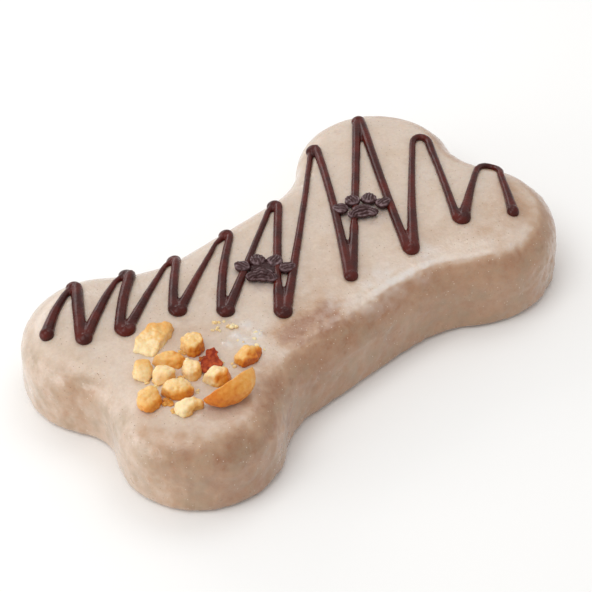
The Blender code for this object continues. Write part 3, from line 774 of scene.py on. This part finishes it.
# %% Lead the thread through its turns
STROKES = (
    # from (x, y), to (x, y), the thread's radius at the start, halfway and at the end,
    # and how far the stroke bows out along the zigzag
    ((-62.5, 22.2), (-48.7, 31.4), (1.70, 1.24, 0.90), -0.8),
    ((-46.6, 30.6), (-57.8, 14.5), (1.60, 1.60, 1.60), -0.1),
    ((-56.6, 14.1), (-36.7, 26.5), (1.50, 1.20, 0.65), -0.3),
    ((-33.4, 25.4), (-49.3, 10.3), (1.50, 1.40, 1.45), -0.5),
    ((-46.9, 9.5), (-23.2, 22.8), (1.45, 0.97, 0.62), 0.1),
    ((-20.8, 22.0), (-35.1, 6.4), (1.10, 1.23, 1.50), -0.4),
    ((-33.3, 5.8), (-8.4, 20.1), (1.45, 0.90, 0.60), 0.0),
    ((-5.2, 19.0), (-26.8, -2.1), (1.01, 1.20, 1.35), -0.8),
    ((-25.0, -2.7), (9.6, 20.1), (1.50, 0.95, 0.85), 0.2),
    ((12.1, 19.3), (-16.8, -12.4), (1.20, 1.22, 1.50), -0.4),
    ((-15.0, -13.0), (35.0, 30.9), (1.50, 0.95, 0.85), 0.3),
    ((36.5, 30.4), (5.1, -14.7), (1.20, 1.15, 1.50), 0.5),
    ((5.9, -14.9), (52.1, 30.9), (1.50, 1.15, 1.35), 0.2),
    ((53.2, 30.5), (23.1, -17.4), (1.35, 1.22, 1.30), -0.3),
    ((24.7, -18.0), (56.7, 13.7), (1.70, 1.10, 0.90), -0.4),
    ((59.8, 10.8), (40.9, -18.0), (1.20, 1.03, 1.30), 0.1),
    ((42.8, -18.6), (60.4, -6.7), (1.75, 1.10, 0.88), -0.1),
    ((64.2, -11.4), (53.7, -25.9), (0.95, 1.12, 1.55), 0.1),
)
DOMES = (
    # (x, y) of the round heaps at the far turns, from the left
    (-46.9, 31.6), (-33.8, 26.8), (-21.3, 22.7), (-5.7, 20.1), (11.4, 20.3), (35.5, 30.9), (52.8, 31.0),
)
ZIGZAG_WAY = -19.0    # the way that the zigzag moves on over the cake, in degrees
PAWS = ((-10.3, 0.1, 42.0), (25.0, 0.0, 57.0))    # (x, y, way that the toes point in degrees)
THREAD_LIFT = 0.45    # mm from the glaze up to the middle of the thread
TURN_TRIM = 0.6       # the share of its half width that a turn takes off both of its strokes
DOME_TRIM = 1.8       # mm that a heap takes off the end of the stroke that runs up to it
FIRST_BLOB, LAST_BLOB = (1.9, 1.9, 1.8), (1.6, 1.9, 1.7)    # half sizes in mm
DOME, LOW_COIL, HIGH_COIL = (2.0, 1.7, 1.4), (1.9, 1.6, 1.35), (0.9, 0.7, 0.7)


def plan_way(degrees):
    """The way in plan at this angle from the cake's length."""
    return Vector((math.cos(math.radians(degrees)), math.sin(math.radians(degrees))))


def on_glaze(place, lift):
    """The point this far above the glaze."""
    height, normal = top_at(*place)
    return Vector((*place, height)) + normal * lift


def stroke_at(number, t):
    """The place in plan and the radius of the thread at a share of a stroke."""
    start, end, (first, halfway, last), bow = STROKES[number]
    place = Vector(start).lerp(Vector(end), t) + plan_way(ZIGZAG_WAY) * bow * math.sin(math.pi * t)
    thick = first * (1.0 - t) * (1.0 - 2.0 * t) + 4.0 * halfway * t * (1.0 - t)
    thick += last * t * (2.0 * t - 1.0)
    under_paw = max(1.0 - (place - Vector(paw[:2])).length / 6.0 for paw in PAWS)
    return place, thick * (1.0 - 0.25 * min(max(2.0 * under_paw, 0.0), 1.0))


def turn_width(number):
    """Half the distance between the two strokes that meet at the start of a stroke."""
    if number in (0, len(STROKES)):
        return 0.0
    return (Vector(STROKES[number][0]) - Vector(STROKES[number - 1][1])).length / 2.0


def turn_tip(number):
    """The middle of a turn, and the ways across it and out to its tip."""
    start, end = Vector(STROKES[number][0]), Vector(STROKES[number - 1][1])
    across = (start - end).normalized()
    return (start + end) / 2.0, across, Vector((-across.y, across.x)) * (1.0 if number % 2 else -1.0)


def has_dome(number):
    """Whether a stroke starts at one of the round heaps."""
    return number % 2 == 1 and number // 2 < len(DOMES)


thread = []    # (place on the glaze, radius) of each point
coils = [(Vector(STROKES[0][0]), FIRST_BLOB, 0.0)]    # (place in plan, half sizes, lift) of each heap
for i, (start, end, *_) in enumerate(STROKES):
    length = (Vector(end) - Vector(start)).length
    t_first = 0.0 if has_dome(i) else TURN_TRIM * turn_width(i) / length
    t_last = 1.0 - (DOME_TRIM if has_dome(i + 1) else TURN_TRIM * turn_width(i + 1)) / length
    after, leaving = stroke_at(i, t_first)
    if has_dome(i):
        dome = Vector(DOMES[i // 2])
        thread.append((on_glaze(dome, THREAD_LIFT), 1.2))
        coils.append((dome, DOME, 0.0))
    elif i:
        half = turn_width(i)
        middle, across, ahead = turn_tip(i)
        for k in range(1, 8):
            angle = math.pi * k / 8
            out = ahead * half * (1.0 + TURN_TRIM) * math.sin(angle)
            place = before.lerp(after, 0.5 - 0.5 * math.cos(angle)) + out
            thread.append((on_glaze(place, THREAD_LIFT), arriving + (leaving - arriving) * k / 8))
        if i % 2 == 0:
            outer = half + (arriving + leaving) / 2.0
            coils.append((middle + ahead * (outer - 1.6), LOW_COIL, 0.15))
            coils.append((middle + ahead * (outer - 1.8) + across * 0.1, HIGH_COIL, 1.05))
    steps = max(4, round(length))
    for k in range(steps + 1):
        place, thick = stroke_at(i, t_first + (t_last - t_first) * k / steps)
        thread.append((on_glaze(place, THREAD_LIFT), thick))
    before, arriving = place, thick
coils.append((Vector(STROKES[-1][1]), LAST_BLOB, 0.0))
print("points of the thread:", len(thread), "length in mm:",
      round(sum((a[0] - b[0]).length for a, b in zip(thread, thread[1:]))))

# %% [markdown]
# A curve with a round bevel is the thread itself, because each of its points can have a radius of its
# own. The heaps at the turns and the blobs at both ends are flattened balls that lean with the glaze
# under them.

# %% Squeeze the thread out
THREAD_MESH = 0.28
let_go()
bpy.ops.curve.primitive_bezier_curve_add()
zigzag = bpy.context.object
line = zigzag.data
line.splines.clear()
spline = line.splines.new("POLY")
spline.points.add(len(thread) - 1)
for point, (place, thick) in zip(spline.points, thread):
    point.co = (*(place * MM), 1.0)
    point.radius = thick
line.bevel_depth = MM
line.bevel_resolution = 4
line.use_fill_caps = True
bpy.ops.object.convert(target="MESH")
zigzag = bpy.context.object

heaps = []
for place, size, lift in coils:
    bpy.ops.mesh.primitive_uv_sphere_add(segments=24, ring_count=12, radius=MM)
    heaps.append(bpy.context.object)
    normal = top_at(*place)[1]
    aside = normal.cross(plan_way(ZIGZAG_WAY).to_3d()).normalized()
    turn = turned(aside.cross(normal), aside, normal)
    centre = on_glaze(place, THREAD_LIFT + lift) * MM
    heaps[-1].matrix_world = Matrix.Translation(centre) @ turn @ Matrix.Diagonal((*size, 1.0))

joined([zigzag] + heaps)
even_mesh(zigzag, THREAD_MESH, smoothing=2)
where, facing = points_of(zigzag)
where += facing * (0.05 * waver(where, 3.0, 5.0) + 0.02 * waver(where, 1.0, 9.0))[:, None]
put_points(zigzag, where)
print("zigzag points:", len(where))

# %% [markdown]
# Dark icing sets with a soft gloss. Its colour is nearly black brown, a little redder in places. The paw
# prints share this finish, and two painted numbers set them apart: stiff icing is greyer, and a pale
# painted highlight lies on its ridges and rims. The thread has neither, and an unpainted number counts as
# 0.

# %% Mix the dark icing
BLACK_BROWN, RED_BROWN = rgb(0.048, 0.0085, 0.0068), rgb(0.096, 0.0110, 0.0065)
# The second colour on the next line is the painted highlight on the ridges and rims of the paw prints.
STIFF, PAINTED_HIGHLIGHT = rgb(0.046, 0.0140, 0.0145), rgb(0.270, 0.180, 0.195)
tree, shader, icing_finish = new_finish("dark_icing")
redness = span(tree, grain(tree, 4.0, 2.0, 0.5, 5.0), 0.38, 0.66)
cocoa = blended(tree, redness, BLACK_BROWN, RED_BROWN)
cocoa = blended(tree, painted(tree, "stiff"), cocoa, STIFF)
cocoa = blended(tree, painted(tree, "painted_highlight"), cocoa, PAINTED_HIGHLIGHT)
wire(tree, shader, {
    "Base Color": cocoa,
    "Roughness": span(tree, grain(tree, 1.5, 2.0, 0.5, 3.0), 0.3, 0.7, 0.20, 0.34),
    "Specular IOR Level": 0.25,
    "Normal": fine_relief(tree, grain(tree, 0.8, 2.0), 0.3, 0.05),
})
finish_piece(zigzag, "piped_zigzag", "icing", icing_finish)

# %% [markdown]
# ## The paw prints
#
# Each print was set with the tip of the bag over the zigzag: four tapered dabs for the toes and four for
# the pad. The left one was squeezed harder, so a thin film of icing fills the gaps between its toes.
# Flattened spheres are joined, and a remesh melts them together, as wet icing does. That is quicker than
# sculpting, and each dab keeps its place and size.

# %% Set the dabs of both prints
TOES = (
    # degrees from the way that the print points, reach, half length and half width of each toe in mm
    (66.0, 6.6, 2.2, 1.85), (24.0, 5.9, 2.05, 2.1), (-22.0, 5.9, 2.05, 2.1), (-62.0, 6.3, 2.3, 1.8),
)
TOE_HEIGHT, TOE_TAPER = 1.3, 0.20
PAD_PARTS = (
    # (ahead, aside) of each dab of the pad, and its half sizes along the print, across it and up
    ((0.8, 0.5), (1.9, 2.6, 1.2)), ((-0.5, -1.9), (1.45, 1.7, 1.05)), ((-0.5, 2.9), (1.45, 1.7, 1.05)),
    ((-0.8, 0.5), (1.1, 2.2, 0.85)),
)
PAD_SHIFT = {"left": -0.7, "right": 0.2}
FILM_AHEAD, FILM_HALF, FILM_LIFT = 3.0, (2.9, 4.3, 0.95), 0.4
PAW_LIFT = 1.15
PAW_MESH = 0.17


def dab(place, half, way, lift=PAW_LIFT, taper=0.0):
    """One flattened dab of icing, with its half sizes along its way, across it and up, in millimetres."""
    let_go()
    bpy.ops.mesh.primitive_uv_sphere_add(segments=20, ring_count=10, radius=MM)
    thing = bpy.context.object
    where = points_of(thing)[0]
    where[:, 1] *= 1.0 - taper * where[:, 0]
    put_points(thing, where)
    turn = turned(way.to_3d(), Vector((-way.y, way.x, 0.0)), Vector((0.0, 0.0, 1.0)))
    centre = Vector((*place, top_at(*place)[0] + lift))
    thing.matrix_world = Matrix.Translation(centre * MM) @ turn @ Matrix.Diagonal((*half, 1.0))
    bpy.ops.object.transform_apply(location=True, rotation=True, scale=True)
    return thing


prints = {}
for name, (x, y, way) in zip(("left", "right"), PAWS):
    middle = Vector((x, y))
    ahead, aside = plan_way(way), plan_way(way + 90.0)
    pad, toes = [], []
    for (out, over), half in PAD_PARTS:
        pad.append((middle + ahead * (out + PAD_SHIFT[name]) + aside * over, half, ahead))
    for fan, reach, long, wide in TOES:
        toe_way = plan_way(way + fan)
        toes.append((middle + toe_way * reach, (long, wide, TOE_HEIGHT), toe_way))
    dabs = [dab(*one) for one in pad] + [dab(*one, taper=TOE_TAPER) for one in toes]
    if name == "left":
        dabs.append(dab(middle + ahead * FILM_AHEAD, FILM_HALF, ahead, lift=FILM_LIFT))
    prints[name] = (joined(dabs), pad, toes, middle, ahead, aside)
    print(name, "print of", len(dabs), "dabs")

# %% [markdown]
# Stiff icing keeps the marks of the tip. On the pad they are ridges that curve round a hub behind it, and
# on each toe they are fine streaks along its length, round a dent where the tip was lifted. They are
# moved points, not paint, because the lamps draw them. The ridges and rims also get a painted highlight,
# a pale colour where light catches them.

# %% Draw the tip's ridges over both prints
RIDGE_EVERY, RIDGE_HEIGHT = 0.85, 0.20
STREAK_EVERY, STREAK_HEIGHT = 0.9, 0.10
HUB_AHEAD, HUB_ASIDE = -3.4, 0.5
DENT_DEPTH = 0.5


def in_dab(where, place, way):
    """How far each point lies along a dab and across it from its middle."""
    x, y = where[:, 0] - place.x, where[:, 1] - place.y
    return x * way.x + y * way.y, y * way.x - x * way.y


def inside_dab(where, place, half, way):
    """1 in the middle of a dab in plan, 0 at its rim and less than 0 outside."""
    along, across = in_dab(where, place, way)
    return 1.0 - (along / half[0]) ** 2 - (across / half[1]) ** 2


def streaks_of_toe(where, place, half, way):
    """Fine ridges that run out along a toe."""
    across = in_dab(where, place, way)[1]
    inside = np.clip(inside_dab(where, place, half, way) * 3.0, 0.0, 1.0)
    return inside * np.sin(math.tau * across / STREAK_EVERY + 2.0 * waver(where, 1.6, 43.0))


for name, (paw, pad, toes, middle, ahead, aside) in prints.items():
    even_mesh(paw, PAW_MESH, smoothing=1)
    where, facing = points_of(paw)
    hub = middle + ahead * (HUB_AHEAD + PAD_SHIFT[name]) + aside * HUB_ASIDE
    on_toe = np.max([inside_dab(where, *one) for one in toes], axis=0)
    on_dab = np.max([inside_dab(where, *one) for one in pad + toes], axis=0)
    level = np.clip(facing[:, 2] * 1.5, 0.0, 1.0)
    ring = np.hypot(where[:, 0] - hub.x, where[:, 1] - hub.y) + 0.7 * waver(where, 1.8, 48.0)
    ridges = np.sin(math.tau * ring / RIDGE_EVERY) * (on_toe < 0.0)
    streaks = np.sum([streaks_of_toe(where, *one) for one in toes], axis=0)
    marks = RIDGE_HEIGHT * ridges + STREAK_HEIGHT * streaks
    marks -= DENT_DEPTH * np.clip(on_toe - 0.30, 0.0, 1.0)
    rough = 0.15 * waver(where, 1.1, 40.0, (1.0, 1.0, 0.6)) + 0.07 * waver(where, 0.5, 44.0)
    # A painted highlight on the rims of the dabs and the crests of the ridges.
    rim = np.exp(-((on_dab - 0.22) / 0.16) ** 2) * level
    crest = np.clip(np.maximum(ridges, streaks), 0.0, 1.0) ** 2 * np.clip(on_dab * 3.0, 0.0, 1.0)
    painted_highlight = np.maximum(rim, 0.8 * crest) * (0.55 + 1.2 * waver(where, 0.9, 47.0))
    paint(paw, "stiff", np.ones(len(where)))
    paint(paw, "painted_highlight", np.clip(painted_highlight, 0.0, 1.0))
    put_points(paw, where + facing * (marks * level + rough)[:, None])
    finish_piece(paw, "paw_print_" + name, "icing", icing_finish)

# %% [markdown]
# ## The chopped peanuts
#
# A chopped peanut is a chunk with flat cut faces and one roasted outer side. The solids already have the
# true size and the cuts of every chunk, but they stand a little clear of the glaze and of each other. So
# each is copied, merged and given an even mesh, which is grown by that gap and then broken up by lumps
# and noise. The mesh is painted with how roasted each point is: pale where the knife went through, golden
# to orange outside. On most chunks the same number also paints shade, darker orange on the faces turned
# down and to the front.

# %% Note the roast, the painted shade and the bites of every chunk
ROAST_AND_SHADE = {
    # node: (roast at the low end, at the high end, way that it grows in x, y and z); where the way points
    # down and to the front, it also paints shade
    "peanut_01": (0.0, 0.42, (0.9, 0.5, 0.4)),
    "peanut_02": (0.22, 0.98, (0.5, -0.5, -0.9)),
    "peanut_03": (0.30, 0.62, (0.7, -0.6, -0.3)),
    "peanut_04": (0.40, 0.10, (-0.7, -0.7, -0.2)),
    "peanut_05": (0.10, 0.38, (0.2, -0.2, -0.9)),
    "peanut_06": (0.05, 0.45, (0.7, -0.6, -0.4)),
    "peanut_07": (0.06, 0.80, (0.5, -0.6, -0.6)),
    "peanut_08": (0.30, 0.96, (0.1, -0.8, -0.6)),
    "peanut_09": (0.28, 0.74, (0.1, -0.7, -0.7)),
    "peanut_10": (0.16, 0.70, (-0.1, -0.6, -0.8)),
    "peanut_11": (0.0, 0.50, (0.6, -0.5, -0.6)),
}
BITES = {
    # node: (x, y, z, reach in mm) of each hollow that broke out of it
    "peanut_01": ((-45.3, -2.6, 22.6, 1.5),),
    "peanut_07": ((-45.6, -18.0, 25.4, 1.3),),
    "peanut_11": ((-53.0, -20.0, 24.1, 1.5), (-53.9, -24.4, 21.8, 1.3)),
}
print("chunks:", len(ROAST_AND_SHADE))

# %% Copy, chip and paint a chunk
NUT_MESH = 0.2
NUT_SINK = 0.45


def fine_copy(node, size):
    """A copy of a solid with its loose triangles merged and an even mesh."""
    source = frame["nodes"][node]
    copy = bpy.data.objects.new(node + "_copy", source.data.copy())
    bpy.context.scene.collection.objects.link(copy)
    take(copy)
    bpy.ops.object.mode_set(mode="EDIT")
    bpy.ops.mesh.select_all(action="SELECT")
    bpy.ops.mesh.remove_doubles(threshold=0.001 * MM)
    bpy.ops.object.mode_set(mode="OBJECT")
    even_mesh(copy, size, smoothing=2)
    return copy


def bite(where, x, y, z, reach):
    """Push the points inside a ball out to its skin, which leaves a hollow."""
    arm = where - (x, y, z)
    length = np.maximum(np.linalg.norm(arm, axis=1), 0.01)
    return np.where((length < reach)[:, None], (x, y, z) + arm * (reach / length)[:, None], where)


def chip(thing, seed, grow=0.30, coarse=0.24, middling=0.42, fine=0.08, bites=()):
    """Grow a chunk by the gap round its solid, break up its faces, and sink it a little into the glaze."""
    where, facing = points_of(thing)
    rough = coarse * waver(where, 2.2, seed) + middling * lumps_of(where, 1.5, seed)
    rough += fine * waver(where, 0.55, seed + 5.0)
    where += facing * (grow + rough)[:, None]
    for hollow in bites:
        where = bite(where, *hollow)
    where[:, 2] -= NUT_SINK
    put_points(thing, where)


def paint_roast_and_shade(thing, low, high, way, seed):
    """Paint how roasted and shaded each point is: the more, the further along a way it lies and faces."""
    where, facing = points_of(thing)
    way = np.array(way) / np.linalg.norm(way)
    along = where @ way
    t = 0.5 * (along - along.min()) / (along.max() - along.min()) + 0.25 * (facing @ way + 1.0)
    blotches = 0.26 * waver(where, 1.5, seed) + 0.12 * waver(where, 0.7, seed)
    t = np.clip((t - 0.2) / 0.6 + blotches, 0.0, 1.0)
    t = t * t * (3.0 - 2.0 * t)
    paint(thing, "roast_and_shade", np.clip(low + (high - low) * t, 0.0, 1.0))


print("ready to chip")

# %% [markdown]
# All nuts share one finish, which turns the painted roast and painted shade into a colour: cream, straw,
# gold, orange and brown. A little light passes into them, and their oil gives a soft gloss.

# %% Mix the roast and the painted shade, and make the chunks
ROAST_AND_SHADE_COLOURS = (
    # (how roasted and shaded, colour)
    (0.0, rgb(0.90, 0.73, 0.43)), (0.30, rgb(0.83, 0.50, 0.17)), (0.58, rgb(0.76, 0.33, 0.055)),
    (0.82, rgb(0.66, 0.195, 0.014)), (1.0, rgb(0.45, 0.085, 0.008)),
)
tree, shader, nut_finish = new_finish("chopped_peanut")
speckle = span(tree, grain(tree, 0.8, 2.0, 0.5, 1.0), 0.3, 0.7, -0.08, 0.08)
roast_and_shade = maths(tree, "ADD", painted(tree, "roast_and_shade"), speckle, use_clamp=True)
wire(tree, shader, {
    "Base Color": stops(tree, roast_and_shade, ROAST_AND_SHADE_COLOURS),
    "Roughness": 0.34,
    "Specular IOR Level": 0.36,
    "Subsurface Weight": 0.25,
    "Subsurface Radius": (1.0, 0.5, 0.2),
    "Subsurface Scale": MM,
    "Normal": fine_relief(tree, grain(tree, 0.5, 2.0), 0.4, 0.08),
})

SLOTS = {part["node"]: part["material_slot"] for part in frame["record"]["subparts"]}
for number, (node, (low, high, way)) in enumerate(ROAST_AND_SHADE.items()):
    chunk = fine_copy(node, NUT_MESH)
    chip(chunk, 10.0 * number, bites=BITES.get(node, ()))
    # The way also paints shade: on most chunks it points down and to the front, so those faces are darker.
    paint_roast_and_shade(chunk, low, high, way, 7.0 * number)
    finish_piece(chunk, node.replace("peanut", "chopped_peanut"), SLOTS[node], nut_finish, node)

# %% [markdown]
# One half kernel stayed whole. It is painted darker, partly as a deeper roast and partly as painted shade
# on its face, which is turned away from the lamps. It is smooth, so it gets the same steps as a chunk with
# hardly any lumps.

# %% Smooth the half kernel
kernel = fine_copy("half_peanut", NUT_MESH)
chip(kernel, 300.0, grow=0.10, coarse=0.18, middling=0.04, fine=0.02)
# Deeper roast and painted shade, darker towards the lower left.
paint_roast_and_shade(kernel, 0.84, 0.50, (0.8, 0.1, 0.6), 77.0)
finish_piece(kernel, "roasted_half_peanut", SLOTS["half_peanut"], nut_finish, "half_peanut")

# %% [markdown]
# The red skin of the nuts is thin as paper. Its flake is wrinkled and torn, so its rim is pushed in and
# out and its face is folded by noise.

# %% Tear and wrinkle the skin
SKIN_MESH = 0.13
SKIN_DARK, SKIN_RED = rgb(0.25, 0.020, 0.004), rgb(0.56, 0.095, 0.018)
skin = fine_copy("peanut_skin", SKIN_MESH)
where = points_of(skin)[0]
centre = where.mean(0)
arm = (where - centre) * (1.0, 1.0, 0.0)
reach = np.linalg.norm(arm, axis=1)
tear = (0.25 + 0.7 * waver(where * (1.0, 1.0, 0.0), 1.3, 12.0)) * np.clip(reach / 2.5, 0.0, 1.0)
where += arm / np.maximum(reach, 0.01)[:, None] * tear[:, None]
where[:, 2] += 0.4 * waver(where * (1.0, 1.0, 0.0), 1.1, 60.0) - 0.2
put_points(skin, where)
tree, shader, skin_finish = new_finish("peanut_skin")
veins = span(tree, grain(tree, 1.2, 3.0), 0.35, 0.65)
wire(tree, shader, {
    "Base Color": blended(tree, veins, SKIN_DARK, SKIN_RED),
    "Roughness": 0.55,
    "Specular IOR Level": 0.25,
})
finish_piece(skin, "skin_flake", SLOTS["peanut_skin"], skin_finish, "peanut_skin")

# %% [markdown]
# ## Crumbs
#
# Chopping leaves crumbs: pale yellow ones that sank into the glaze behind the nuts, small golden bits
# that fill the gaps between them, and a few dark ones by the flake of skin. Each crumb is a small ball,
# dented at random, and all of them together are one piece. They have the finish of the chunks, so each is
# painted with one roast.

# %% Scatter the crumbs
CRUMB_SPOTS = (
    # (x, y, spread in mm, number, least and most size in mm, roast)
    (-31.1, -5.7, 1.3, 7, 0.35, 0.7, 0.12), (-28.0, -8.0, 0.6, 4, 0.6, 1.15, 0.0),
    (-25.6, -13.8, 0.8, 5, 0.3, 0.6, 0.0), (-29.5, -15.5, 2.4, 12, 0.3, 0.7, 0.0),
    (-43.4, -6.2, 0.7, 6, 0.35, 0.8, 0.28), (-44.5, -9.6, 0.9, 6, 0.35, 0.8, 0.30),
    (-50.0, -6.8, 0.9, 5, 0.3, 0.7, 0.30), (-56.3, -9.8, 0.9, 5, 0.35, 0.7, 0.20),
    (-49.3, -13.0, 0.8, 5, 0.3, 0.7, 0.35), (-56.9, -16.6, 0.8, 7, 0.45, 0.95, 0.62),
    (-49.3, -18.6, 1.2, 5, 0.3, 0.6, 0.10), (-42.8, -14.6, 1.0, 7, 0.3, 0.7, 0.45),
    (-38.5, -16.5, 1.6, 6, 0.25, 0.5, 0.10), (-57.5, -20.5, 0.8, 4, 0.3, 0.6, 0.35),
    (-40.5, -12.0, 1.6, 9, 0.2, 0.5, 1.0),
)
draw = random.Random(21)
crumbs = []
for x, y, spread, number, least, most, roast_and_shade in CRUMB_SPOTS:
    for _ in range(number):
        size = draw.uniform(least, most)
        place = (draw.gauss(x, spread * 0.6), draw.gauss(y, spread * 0.6))
        let_go()
        bpy.ops.mesh.primitive_ico_sphere_add(subdivisions=3, radius=size * MM)
        crumb = bpy.context.object
        seed = draw.uniform(0.0, 100.0)
        squash = [draw.uniform(0.7, 1.2) for _ in range(2)] + [draw.uniform(0.5, 0.8)]
        where = points_of(crumb)[0]
        where = where * squash * (1.0 + 0.6 * waver(where, 0.8 * size, seed))[:, None]
        where += (*place, top_at(*place)[0] + 0.05 * size)
        put_points(crumb, where)
        paint(crumb, "roast_and_shade", np.full(len(where), max(roast_and_shade + draw.uniform(-0.12, 0.12), 0.0)))
        crumbs.append(crumb)
finish_piece(joined(crumbs), "nut_crumbs", "pale_nut", nut_finish)
